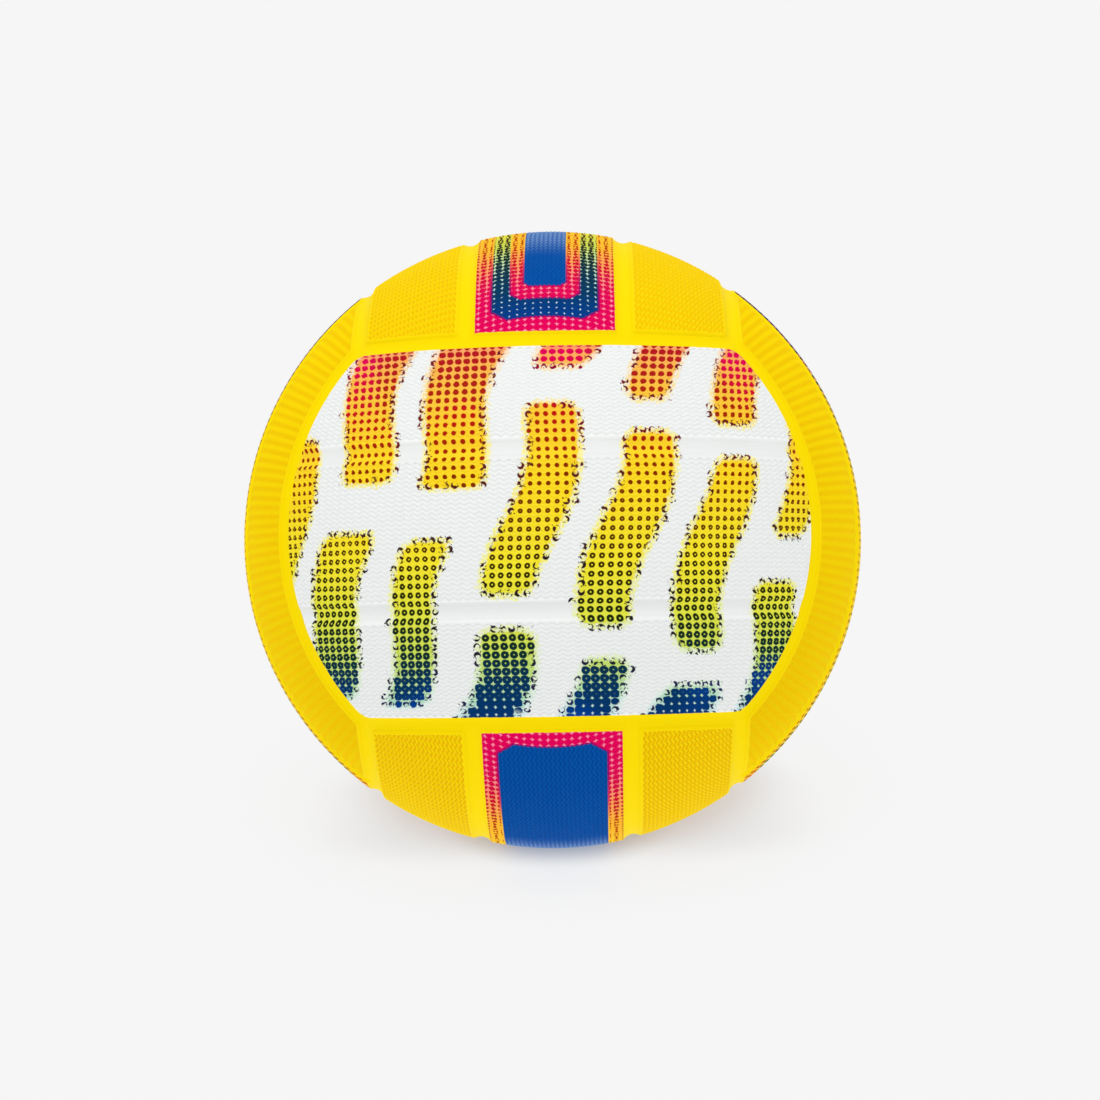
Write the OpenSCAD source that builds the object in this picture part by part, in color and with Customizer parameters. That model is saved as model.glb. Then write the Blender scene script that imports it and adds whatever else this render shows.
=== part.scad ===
// Water polo ball: an inflated rubber carcass under eighteen raised cover panels.
// The origin is the ball's centre, +Z is up, and the front group of panels faces -Y.
// The valve lies on +Y, in the middle of the back group.

/* [Ball] */
// Diameter over the raised panels
ball_d = 222; // [205:1:240]

/* [Cover panels] */
// Height of the raised panels above the channel floors
panel_t = 1.3; // [0.8:0.1:2]
// Width of the channels between two groups of panels
group_channel_w = 6.6; // [4:0.1:10]
// Width of the channels between two strips of one group
strip_channel_w = 6.5; // [4:0.1:10]
// Distance between the two strip channels of a group, middle to middle
strip_channel_spacing = 53.3; // [44:0.1:62]
// How far a panel's sloping wall runs into its channel
wall_run = 1; // [0.4:0.1:1.6]

/* [Carcass] */
// Thickness of the rubber layer under the panels
base_t = 0.6; // [0.4:0.1:1.2]
// Thickness of the layer of wound thread
winding_t = 0.4; // [0.3:0.1:1]
// Thickness of the bladder's wall
bladder_t = 0.6; // [0.4:0.1:1.2]

/* [Valve housing] */
// Diameter of the stem, whose end is the round face seen on the ball
stem_d = 9; // [8:0.1:12]
// Radial gap round the stem in the layers that it passes
stem_gap = 0.1; // [0.05:0.05:0.3]
// How far the stem's face lies below the crest of the panel
face_recess = 0.5; // [0.2:0.1:1]
// Diameter of the flange inside the bladder
flange_d = 30; // [24:1:40]
// Thickness of the flange
flange_t = 1.4; // [1:0.1:2]
// Diameter of the barrel that hangs inside the bladder
barrel_d = 11.4; // [10:0.1:14]
// Thickness of the barrel's floor under the core
barrel_floor_t = 2; // [1:0.1:4]
// Diameter of the air hole in the barrel's floor
air_hole_d = 3; // [2:0.1:4]

/* [Valve core] */
// Diameter of the core's plain stretches
core_d = 5.6; // [5:0.1:6]
// Diameter of the ring that locks the core in the housing
lock_ring_d = 7; // [6.4:0.1:7.4]
// Height of the lock ring
lock_ring_h = 3; // [2:0.1:3.6]
// Length of the core from its top to the lock ring
core_neck_len = 4; // [3:0.1:5]
// Length of the whole core
core_len = 12; // [10:0.1:12.6]
// Radial gap between the core and the housing
core_gap = 0.05; // [0.02:0.01:0.1]
// How far the core's top lies below the stem's face
core_recess = 0.3; // [0.1:0.1:0.6]
// Diameter of the guide hole for the inflation needle
needle_hole_d = 2.3; // [2.1:0.05:2.6]
// Depth of the guide hole
needle_hole_depth = 5; // [3:0.1:6]
// Width of the slit that the needle opens
slit_w = 1.9; // [1.4:0.1:2]
// Thickness of the slit
slit_t = 0.1; // [0.05:0.05:0.2]

/* [Hidden] */

$fn = 180;

// Radii of the layers, from the outside in
ball_r = ball_d / 2;
base_r = ball_r - panel_t;
winding_r = base_r - base_t;
bladder_r = winding_r - winding_t;
inside_r = bladder_r - bladder_t;

// Latitude of the planes that part two groups, which meet at the corners of a cube
group_lat = asin(1 / sqrt(3));
// Latitude of the channel between two strips
strip_lat = asin(strip_channel_spacing / 2 / ball_r);

// Radius that cutting tools reach to, clear of the ball
tool_reach_share = 1.5;
tool_r = tool_reach_share * ball_r;
// How far a cutting tool runs past what it cuts
overrun = 1;

// Heights on the valve's axis, counted from the ball's centre
face_y = ball_r - face_recess;
flange_mid_y = inside_r - flange_t / 2;
core_top_y = face_y - core_recess;
core_end_y = core_top_y - core_len;
barrel_end_y = core_end_y - barrel_floor_t;
ring_top_y = core_top_y - core_neck_len;
ring_end_y = ring_top_y - lock_ring_h;
needle_hole_end_y = core_top_y - needle_hole_depth;
// Height of the cone at each end of the lock ring
ring_slope = (lock_ring_d - core_d) / 2;

rubber_yellow = [0.97, 0.83, 0.04];
rubber_white = [0.93, 0.93, 0.92];
print_pink = [0.88, 0.1, 0.4];
rubber_black = [0.1, 0.1, 0.11];
core_grey = [0.3, 0.3, 0.32];
thread_white = [0.85, 0.84, 0.78];

// Angle at the centre of an arc of the ball's surface
function arc_angle(len) = len / ball_r * 180 / PI;

// Point of a half plane at a radius and a latitude
function polar(r, lat) = [r * cos(lat), r * sin(lat)];

// Latitude of a wall at a radius: crest_lat on the ball's surface, and wall_run further into
// the channel on the base. side is 1 where the channel lies at higher latitudes, else -1.
function wall_lat(r, crest_lat, side) =
    crest_lat + side * arc_angle(wall_run) * (ball_r - r) / panel_t;

// The points of one wall, from under the base's surface out past the ball
function wall_points(crest_lat, side) = [
    polar(base_r - overrun, wall_lat(base_r - overrun, crest_lat, side)),
    polar(ball_r + overrun, wall_lat(ball_r + overrun, crest_lat, side)),
    polar(tool_r, wall_lat(ball_r + overrun, crest_lat, side))
];

function reversed(points) = [for (i = [len(points) - 1:-1:0]) points[i]];

// Crest latitudes of a strip's two long walls, for row -1, 0 or 1 of its group
function low_crest(row) =
    row == 1 ? strip_lat + arc_angle(strip_channel_w / 2)
    : row == 0 ? -strip_lat + arc_angle(strip_channel_w / 2)
    : -group_lat + arc_angle(group_channel_w / 2);
function high_crest(row) = -low_crest(-row);

// Layer between two spheres
module layer(outer_r, inner_r) {
    difference() {
        sphere(r = outer_r);
        sphere(r = inner_r);
    }
}

// Turns a tool that points along +Z to point along +Y
module to_y() {
    rotate([-90, 0, 0]) children();
}

// Solid between a strip's two long walls, in the group's own frame: strips run along X and
// the group faces +Z
module strip_band(row) {
    to_y() rotate_extrude() polygon(concat(
        wall_points(low_crest(row), -1),
        reversed(wall_points(high_crest(row), 1))
    ));
}

// Cone inside the walls at the strips' ends
module end_cone() {
    end_lat = group_lat + arc_angle(group_channel_w / 2);
    walls = wall_points(end_lat, -1);
    rotate_extrude() polygon(concat(
        [[0, walls[0][1]]], walls, [[0, tool_r]]
    ));
}

// One raised panel in its group's own frame
module strip(row) {
    intersection() {
        layer(ball_r, base_r);
        strip_band(row);
        end_cone();
    }
}

// The six places of a group. Rows run from -1 to 1 towards the side that is named.
module front(row) { rotate([90, 0, 0]) strip(row); } // up
module back(row) { rotate([90, 0, 180]) strip(row); } // up
module top(row) { rotate([0, 0, -90]) strip(row); } // right
module bottom(row) { rotate([180, 0, 90]) strip(row); } // right
module left(row) { rotate([0, -90, 0]) strip(row); } // back
module right(row) { rotate([0, 90, 0]) strip(row); } // back

// Hole that the valve's stem passes
module stem_hole() {
    to_y() cylinder(r = stem_d / 2 + stem_gap, h = tool_r);
}

// Outline of the valve core, grown by a gap: half of a section along its axis
module core_outline(gap) {
    plain_r = core_d / 2 + gap;
    ring_r = lock_ring_d / 2 + gap;
    polygon([
        [0, core_end_y],
        [plain_r, core_end_y],
        [plain_r, ring_end_y - gap],
        [ring_r, ring_end_y + ring_slope - gap],
        [ring_r, ring_top_y - ring_slope + gap],
        [plain_r, ring_top_y + gap],
        [plain_r, core_top_y],
        [0, core_top_y]
    ]);
}

module bladder() {
    color(rubber_black) difference() {
        layer(bladder_r, inside_r);
        stem_hole();
    }
}

module valve_housing() {
    color(rubber_black) difference() {
        union() {
            // Flange that lies against the bladder's inside
            intersection() {
                layer(inside_r, inside_r - flange_t);
                to_y() cylinder(d = flange_d, h = tool_r);
            }
            to_y() translate([0, 0, barrel_end_y])
                cylinder(d = barrel_d, h = flange_mid_y - barrel_end_y);
            to_y() translate([0, 0, flange_mid_y])
                cylinder(d = stem_d, h = face_y - flange_mid_y);
        }
        to_y() rotate_extrude() core_outline(core_gap);
        // Mouth above the core
        to_y() translate([0, 0, core_top_y - overrun])
            cylinder(r = core_d / 2 + core_gap, h = core_recess + 2 * overrun);
        to_y() cylinder(d = air_hole_d, h = ring_end_y);
    }
}

module valve_core() {
    color(core_grey) difference() {
        to_y() rotate_extrude() core_outline(0);
        to_y() translate([0, 0, needle_hole_end_y])
            cylinder(d = needle_hole_d, h = needle_hole_depth + overrun);
        // Slit, from the guide hole down through the core's end
        to_y() translate([-slit_w / 2, -slit_t / 2, core_end_y - overrun])
            cube([slit_w, slit_t, needle_hole_end_y - core_end_y + 2 * overrun]);
    }
}

module winding() {
    color(thread_white) difference() {
        layer(winding_r, bladder_r);
        stem_hole();
    }
}

module cover_base() {
    color(rubber_yellow) difference() {
        layer(base_r, winding_r);
        stem_hole();
    }
}

module front_upper_panel() { color(rubber_white) front(1); }
module front_middle_panel() { color(rubber_white) front(0); }
module front_lower_panel() { color(rubber_white) front(-1); }

module back_upper_panel() { color(rubber_white) back(1); }
module back_middle_panel() {
    color(rubber_white) difference() {
        back(0);
        stem_hole();
    }
}
module back_lower_panel() { color(rubber_white) back(-1); }

module top_left_panel() { color(rubber_yellow) top(-1); }
module top_middle_panel() { color(print_pink) top(0); }
module top_right_panel() { color(rubber_yellow) top(1); }

module bottom_left_panel() { color(rubber_yellow) bottom(-1); }
module bottom_middle_panel() { color(print_pink) bottom(0); }
module bottom_right_panel() { color(rubber_yellow) bottom(1); }

module left_front_panel() { color(rubber_yellow) left(-1); }
module left_middle_panel() { color(print_pink) left(0); }
module left_back_panel() { color(rubber_yellow) left(1); }

module right_front_panel() { color(rubber_yellow) right(-1); }
module right_middle_panel() { color(print_pink) right(0); }
module right_back_panel() { color(rubber_yellow) right(1); }

bladder();
valve_housing();
valve_core();
winding();
cover_base();
front_upper_panel();
front_middle_panel();
front_lower_panel();
back_upper_panel();
back_middle_panel();
back_lower_panel();
top_left_panel();
top_middle_panel();
top_right_panel();
bottom_left_panel();
bottom_middle_panel();
bottom_right_panel();
left_front_panel();
left_middle_panel();
left_back_panel();
right_front_panel();
right_middle_panel();
right_back_panel();
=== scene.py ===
"""Water polo ball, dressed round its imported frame.

The raised panels get their moulded grip ridges, rounded edges and print, the cover base its
concave channels, and the valve its rubber. Sizes are in millimetres, and turned into metres
where a mesh or a light is made.
"""

import math

import bpy
import numpy as np
from mathutils import Matrix, Vector


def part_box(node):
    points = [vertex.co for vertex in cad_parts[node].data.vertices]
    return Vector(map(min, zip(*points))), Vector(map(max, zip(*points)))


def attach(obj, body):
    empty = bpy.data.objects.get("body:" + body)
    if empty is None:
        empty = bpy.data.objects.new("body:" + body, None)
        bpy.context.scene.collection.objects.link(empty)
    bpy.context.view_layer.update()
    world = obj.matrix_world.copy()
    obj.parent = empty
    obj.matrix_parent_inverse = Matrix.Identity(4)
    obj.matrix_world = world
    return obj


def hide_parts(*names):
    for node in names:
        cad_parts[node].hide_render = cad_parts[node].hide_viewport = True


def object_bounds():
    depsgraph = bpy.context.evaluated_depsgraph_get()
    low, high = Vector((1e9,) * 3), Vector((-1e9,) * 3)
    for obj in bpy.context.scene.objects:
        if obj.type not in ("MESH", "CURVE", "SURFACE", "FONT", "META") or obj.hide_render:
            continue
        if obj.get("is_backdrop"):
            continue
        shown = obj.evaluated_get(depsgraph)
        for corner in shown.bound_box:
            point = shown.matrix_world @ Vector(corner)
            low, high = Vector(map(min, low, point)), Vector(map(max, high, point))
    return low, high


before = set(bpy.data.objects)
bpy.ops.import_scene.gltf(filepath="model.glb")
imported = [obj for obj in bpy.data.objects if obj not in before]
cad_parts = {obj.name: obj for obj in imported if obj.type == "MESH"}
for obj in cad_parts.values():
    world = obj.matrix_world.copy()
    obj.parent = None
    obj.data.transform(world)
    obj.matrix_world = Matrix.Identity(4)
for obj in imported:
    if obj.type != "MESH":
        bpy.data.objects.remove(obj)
cad_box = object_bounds()

MM = 0.001


def add_object(name, data):
    """A new object in the scene."""
    thing = bpy.data.objects.new(name, data)
    bpy.context.scene.collection.objects.link(thing)
    return thing


# Sizes that the frame gives


def radius_of(node):
    """Radius of a round node about the ball's centre, read across its widest side."""
    low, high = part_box(node)
    return (high.x - low.x) / 2 / MM


BALL_R = (cad_box[1].z - cad_box[0].z) / 2 / MM
BASE_R = radius_of("cover_base")
WINDING_R = radius_of("winding")
PANEL_T = BALL_R - BASE_R

# Panels and channels, as in the CAD model
GROUP_CHANNEL_W = 6.6
STRIP_CHANNEL_W = 6.5
STRIP_CHANNEL_SPACING = 53.3
STEM_HOLE_R = 4.6

GROUP_LAT = math.asin(1 / math.sqrt(3))
STRIP_LAT = math.asin(STRIP_CHANNEL_SPACING / 2 / BALL_R)
GROUP_CREST_LAT = GROUP_LAT - GROUP_CHANNEL_W / 2 / BALL_R
END_LAT = GROUP_LAT + GROUP_CHANNEL_W / 2 / BALL_R
INNER_CREST_LAT = STRIP_LAT - STRIP_CHANNEL_W / 2 / BALL_R
OUTER_CREST_LAT = STRIP_LAT + STRIP_CHANNEL_W / 2 / BALL_R
CREST_LATS = {
    -1: (-GROUP_CREST_LAT, -OUTER_CREST_LAT),
    0: (-INNER_CREST_LAT, INNER_CREST_LAT),
    1: (OUTER_CREST_LAT, GROUP_CREST_LAT),
}

# Channel profile: an arc as wide as the channel and as deep as the panels are thick. A panel
# follows it as far as WALL_REACH past its crest and then drops to the base. The base follows it
# from there, a little lower, and dives under the panel.
CHANNEL_HALF = GROUP_CHANNEL_W / 2
TROUGH_R = (CHANNEL_HALF ** 2 + PANEL_T ** 2) / (2 * PANEL_T)
EDGE_SOFTNESS = 0.16
WALL_REACH = 0.8
WALL_SINK_REACH = 0.95
BASE_SINK = 0.03
BASE_DIVE = 1.4

# Moulded grip ridges
RIDGE_PITCH = 1.53
RIDGE_DEPTH = 0.45
WAVE_LENGTH = 3.3
WAVE_SWAY = 0.40
WAVE_SHARPNESS = 0.11
ROWS_PER_RIDGE = 4
STEPS_PER_WAVE = 8
SMOOTH_BORDER = 0.45
FADE_LEN = 0.35
WALL_STATIONS = (-WALL_SINK_REACH, -WALL_REACH, -0.6, -0.4, -0.22, -0.08, 0.08, 0.25)

# Rounding of the panels' corners in plan
CORNER_R = 0.8
WHITE_CORNER_R = 3.0

# Smooth disc round the valve, and in a window of the grid rings that lead down to the stem's
# hole, each with its radius and its depth under the panel's crest
VALVE_DISC_R = 9.0
VALVE_WINDOW = 6.2
VALVE_LOOPS = ((5.8, 0.0), (5.2, 0.0), (4.95, 0.03), (4.75, 0.14), (4.62, 0.32))
CIRCLE_STEPS = 72
FIRST_CORNER = -math.pi * 3 / 4
TINY = 1e-6

# Each group's strips run along its first axis, and its rows rise along the other
GROUPS = {
    "front": ((1, 0, 0), (0, 0, 1)),
    "back": ((-1, 0, 0), (0, 0, 1)),
    "top": ((0, -1, 0), (1, 0, 0)),
    "bottom": ((0, 1, 0), (1, 0, 0)),
    "left": ((0, 0, 1), (0, 1, 0)),
    "right": ((0, 0, -1), (0, 1, 0)),
}
WHITE_GROUPS = ("front", "back")
ROW_NAMES = {
    **dict.fromkeys(("front", "back"), ("lower", "middle", "upper")),
    **dict.fromkeys(("top", "bottom"), ("left", "middle", "right")),
    **dict.fromkeys(("left", "right"), ("front", "middle", "back")),
}


# Camera, as fitted to the photograph

CAMERA_DISTANCE = 1060.8
CAMERA_AZIMUTH = math.radians(0.89)
CAMERA_ELEVATION = math.radians(-1.91)
CAMERA_ROLL = math.radians(-1.01)
FOCAL_PIXELS = 2931
FRAME_PIXELS = 1100
SENSOR_MM = 36
BALL_PIXEL = (552.6, 540.0)


def add_camera():
    """The photograph's camera: it stands a little below the ball's middle and looks just past it."""
    data = bpy.data.cameras.new("camera")
    data.sensor_width = SENSOR_MM
    data.lens = FOCAL_PIXELS / FRAME_PIXELS * SENSOR_MM
    upright = Matrix.Rotation(math.radians(90), 3, "X")
    around = Matrix.Rotation(CAMERA_AZIMUTH, 3, "Z") @ upright
    turn = around @ Matrix.Rotation(-CAMERA_ELEVATION, 3, "X") @ Matrix.Rotation(CAMERA_ROLL, 3, "Z")
    back = turn @ Vector((0, 0, 1))
    right_by = (BALL_PIXEL[0] - FRAME_PIXELS / 2) / FOCAL_PIXELS
    up_by = (FRAME_PIXELS / 2 - BALL_PIXEL[1]) / FOCAL_PIXELS
    aim = Matrix.Rotation(right_by, 3, "Y") @ Matrix.Rotation(-up_by, 3, "X")
    camera = add_object("camera", data)
    camera.matrix_world = Matrix.Translation(back * CAMERA_DISTANCE * MM) @ (turn @ aim).to_4x4()
    bpy.context.scene.camera = camera


add_camera()


# Mesh building blocks


def smooth_step(low, high, value):
    """0 below low, 1 above high, and a smooth rise between them."""
    share = np.clip((value - low) / (high - low), 0, 1)
    return share * share * (3 - 2 * share)


def make_piece(name, points, quads, triangles, marks=None):
    """A smooth-shaded mesh object from points in millimetres, without those that no face uses.

    marks holds values of each point for the materials, by their names.
    """
    mesh = bpy.data.meshes.new(name)
    quads = np.asarray(quads, int).reshape(-1, 4)
    triangles = np.asarray(triangles, int).reshape(-1, 3)
    corners = np.concatenate([quads.ravel(), triangles.ravel()])
    used, corners = np.unique(corners, return_inverse=True)
    starts = np.concatenate([np.arange(len(quads)) * 4, quads.size + np.arange(len(triangles)) * 3])
    mesh.vertices.add(len(used))
    mesh.vertices.foreach_set("co", (np.asarray(points)[used] * MM).ravel())
    mesh.loops.add(len(corners))
    mesh.loops.foreach_set("vertex_index", corners)
    mesh.polygons.add(len(starts))
    mesh.polygons.foreach_set("loop_start", starts)
    mesh.update(calc_edges=True)
    for mark, values in (marks or {}).items():
        mesh.attributes.new(mark, "FLOAT", "POINT").data.foreach_set("value", values[used])
    mesh.validate()
    mesh.shade_smooth()
    return add_object(name, mesh)


def grid_index(points, first=0):
    """The vertex numbers of a grid, counted from first."""
    rows, columns = points.shape[:2]
    return first + np.arange(rows * columns).reshape(rows, columns)


def grid_quads(index, keep=None):
    """Quads of a grid of vertex numbers, whose rows go up and whose columns go right."""
    quads = np.stack([index[:-1, :-1], index[:-1, 1:], index[1:, 1:], index[1:, :-1]], axis=-1)
    return quads[keep] if keep is not None else quads.reshape(-1, 4)


def grid_border(index, first_row=0, last_row=None, first_column=0, last_column=None):
    """The four sides of a block of the grid, anticlockwise, each without its last vertex."""
    block = index[first_row:last_row, first_column:last_column]
    return [block[0, :-1], block[:-1, -1], block[-1, :0:-1], block[:0:-1, 0]]


def side_shares(points, sides):
    """How far round its ring each vertex lies, where each side takes the same share."""
    shares = []
    for number, side in enumerate(sides):
        after = sides[(number + 1) % len(sides)][:1]
        run = points[np.concatenate([side, after])]
        steps = np.linalg.norm(np.diff(run, axis=0), axis=1)
        travelled = np.concatenate([[0], np.cumsum(steps)[:-1]])
        shares.append((number + travelled / steps.sum()) / len(sides))
    return np.concatenate(shares)


def zip_rings(ring_a, shares_a, ring_b, shares_b):
    """Triangles between two closed rings that run the same way round.

    With ring_a above ring_b they form a wall that faces outward, and with ring_a inside
    ring_b, a flat collar that faces up.
    """
    ends_a = list(shares_a) + [1]
    ends_b = list(shares_b) + [1]
    ring_a = list(ring_a) + [ring_a[0]]
    ring_b = list(ring_b) + [ring_b[0]]
    a = b = 0
    triangles = []
    while a < len(ring_a) - 1 or b < len(ring_b) - 1:
        step_a = b == len(ring_b) - 1 or (a < len(ring_a) - 1 and ends_a[a + 1] <= ends_b[b + 1])
        if step_a:
            triangles.append((ring_a[a], ring_b[b], ring_a[a + 1]))
            a += 1
        else:
            triangles.append((ring_a[a], ring_b[b], ring_b[b + 1]))
            b += 1
    return triangles


def chain_rings(rings):
    """Triangles through a chain of rings, each given as its vertex numbers and shares."""
    triangles = []
    for inner, outer in zip(rings, rings[1:]):
        triangles.extend(zip_rings(*inner, *outer))
    return triangles


def group_axes(group):
    """The group's axes along its strips, across them and outward, as rows of a matrix."""
    along, across = (np.array(axis, float) for axis in GROUPS[group])
    return np.array([along, across, np.cross(along, across)])


def directions(lat, lon):
    """Unit vectors in a group's own axes, from latitudes across and longitudes along."""
    return np.stack([np.cos(lat) * np.sin(lon), np.sin(lat), np.cos(lat) * np.cos(lon)], axis=-1)


def end_longitude(lat, end_lat):
    """Longitude at which a parallel meets the circle at a latitude about the outward axis."""
    return np.arccos(np.clip(np.sin(end_lat) / np.cos(lat), -1, 1))


def trough_rise(from_middle):
    """Height of a channel's floor over its lowest line."""
    reach = np.clip(np.abs(from_middle), 0, CHANNEL_HALF)
    return TROUGH_R - np.sqrt(TROUGH_R ** 2 - reach ** 2)


def wall_drop(beyond_crest):
    """Depth of a panel's surface under its crest, which is softly rounded."""
    crest_slope = CHANNEL_HALF / math.sqrt(TROUGH_R ** 2 - CHANNEL_HALF ** 2)
    outside = PANEL_T - trough_rise(CHANNEL_HALF - beyond_crest)
    drop = np.where(beyond_crest < 0, crest_slope * beyond_crest, outside)
    return (drop + np.sqrt(drop ** 2 + EDGE_SOFTNESS ** 2)) / 2


# Grip panels


def round_corner(to_side, to_end, corner_r):
    """Moves points near a corner, given by their distances from its two edges, onto round rings."""
    from_side = corner_r - to_side
    from_end = corner_r - to_end
    scale = np.maximum(from_side, from_end) / np.maximum(np.hypot(from_side, from_end), TINY)
    return corner_r - from_side * scale, corner_r - from_end * scale


def across_stations(width):
    """Distances of the grid's rows from the low crest, and which step of a ridge each is on."""
    ridges = round((width - 2 * SMOOTH_BORDER) / RIDGE_PITCH)
    steps = np.arange(ridges * ROWS_PER_RIDGE + 1)
    textured = SMOOTH_BORDER + (width - 2 * SMOOTH_BORDER) * steps / steps[-1]
    border = np.array(WALL_STATIONS)
    stations = np.concatenate([border, textured, width - border[::-1]])
    plain = np.zeros(len(border))
    return stations, np.concatenate([plain, steps % ROWS_PER_RIDGE, plain])


def plain_grid(low, stations):
    """Latitudes, longitudes and distances from the strip's end, while its corners are sharp."""
    lat = (low + stations / BALL_R)[:, None]
    border = np.array(WALL_STATIONS)
    border_lon = end_longitude(lat, END_LAT + border[None, :] / BALL_R)
    inner_lon = end_longitude(lat, END_LAT + SMOOTH_BORDER / BALL_R)
    waves = 2 * inner_lon.max() * BALL_R * math.cos(np.abs(lat).min()) / WAVE_LENGTH
    shares = np.linspace(-1, 1, math.ceil(waves * STEPS_PER_WAVE) + 1)
    lon = np.concatenate([-border_lon, inner_lon * shares, border_lon[:, ::-1]], axis=1)
    lat = np.broadcast_to(lat, lon.shape).copy()
    to_end = (np.arcsin(np.cos(lat) * np.cos(lon)) - END_LAT) * BALL_R
    return lat, lon, to_end


class Strip:
    """The textured top of one panel, as a grid of points in its group's own axes.

    Its marks are how deep each point lies in the texture and whether it lies on the waves'
    slant with the sign dark_slant, both from 0 to 1.
    """

    def __init__(self, row, corner_rs, dark_slant, has_valve=False):
        low, high = CREST_LATS[row]
        width = (high - low) * BALL_R
        stations, steps = across_stations(width)
        self.lat, self.lon, to_end = plain_grid(low, stations)
        beyond = np.maximum(np.maximum(-stations, stations - width)[:, None], -to_end)
        to_end = self.round_corners(corner_rs, low, width, stations, to_end)
        # 1 where the ridges have their full depth, and 0 on the smooth border
        inside = (stations > SMOOTH_BORDER + TINY) & (stations < width - SMOOTH_BORDER - TINY)
        fade = inside[:, None] * smooth_step(SMOOTH_BORDER, SMOOTH_BORDER + FADE_LEN, to_end)
        if has_valve:
            off_axis = np.hypot(self.lat, self.lon) * BALL_R
            fade *= smooth_step(VALVE_DISC_R, VALVE_DISC_R + FADE_LEN, off_axis)
        middle_cos = math.cos((low + high) / 2)
        turn = 2 * math.pi * self.lon * BALL_R * middle_cos / WAVE_LENGTH
        wave = np.sin(turn) - WAVE_SHARPNESS * np.sin(3 * turn)
        self.lat += WAVE_SWAY * wave * fade / BALL_R
        # The slant mark: yellow rubber gets painted shade on this slant, and the blue plates less
        # painted sheen
        self.slant = (1 + dark_slant * np.cos(turn)) / 2 * fade
        self.hollow = (1 - np.cos(2 * math.pi * steps / ROWS_PER_RIDGE))[:, None] / 2 * fade
        drop = wall_drop(beyond) + self.hollow * RIDGE_DEPTH
        drop[beyond > (WALL_REACH + WALL_SINK_REACH) / 2] = PANEL_T
        self.points = directions(self.lat, self.lon) * (BALL_R - drop)[..., None]

    def round_corners(self, corner_rs, low, width, stations, to_end):
        """Rounds the strip's four corners, and gives the new distances from its ends."""
        to_end = to_end.copy()
        stations = np.broadcast_to(stations[:, None], self.lat.shape)
        for side, corner_r in zip((-1, 1), corner_rs):
            to_side = stations if side < 0 else width - stations
            near = (to_side < corner_r) & (to_end < corner_r)
            new_side, new_end = round_corner(to_side[near], to_end[near], corner_r)
            station = new_side if side < 0 else width - new_side
            new_lat = low + station / BALL_R
            new_lon = end_longitude(new_lat, END_LAT + new_end / BALL_R)
            self.lon[near] = new_lon * np.sign(self.lon[near])
            self.lat[near] = new_lat
            to_end[near] = new_end
        return to_end


BOTTOM_ROWS = 6
BOTTOM_COLUMNS = 25


def bottom_grid(row):
    """Points of a panel's plain underside, which lies on the cover base."""
    low, high = CREST_LATS[row]
    reach = WALL_SINK_REACH / BALL_R
    lat = np.linspace(low - reach, high + reach, BOTTOM_ROWS)[:, None]
    lon = end_longitude(lat, END_LAT - reach) * np.linspace(-1, 1, BOTTOM_COLUMNS)
    return directions(np.broadcast_to(lat, lon.shape), lon) * BASE_R


def circle_points(axis_r, lift):
    """A ring about the group's outward axis: its own radius, and its distance from the centre."""
    turns = np.arange(CIRCLE_STEPS) / CIRCLE_STEPS * 2 * math.pi + FIRST_CORNER
    height = np.full_like(turns, math.sqrt(lift ** 2 - axis_r ** 2))
    return np.stack([axis_r * np.cos(turns), axis_r * np.sin(turns), height], axis=-1)


def turn_shares(points):
    """How far round the outward axis each point lies, from the lower left corner on."""
    turns = np.arctan2(points[:, 1], points[:, 0]) - FIRST_CORNER
    return np.mod(turns / (2 * math.pi) + TINY, 1)


def window_of(points, half):
    """The smallest block of the grid, as row and column limits, that reaches half from the axis."""
    rows = np.flatnonzero(np.abs(points[:, points.shape[1] // 2, 1]) < half)
    columns = np.flatnonzero(np.abs(points[points.shape[0] // 2, :, 0]) < half)
    return rows[0] - 1, rows[-1] + 2, columns[0] - 1, columns[-1] + 2


def outside_window(index, window):
    """Which cells of the grid are kept round a window."""
    keep = np.ones((index.shape[0] - 1, index.shape[1] - 1), bool)
    keep[window[0]:window[1] - 1, window[2]:window[3] - 1] = False
    return keep


def ring_from(points, ring):
    """A ring with its shares by angle, turned so that the shares rise from its first vertex."""
    ring = np.asarray(ring)
    shares = turn_shares(points[ring])
    start = int(np.argmin(shares))
    return np.roll(ring, -start), np.roll(shares, -start)


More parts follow.
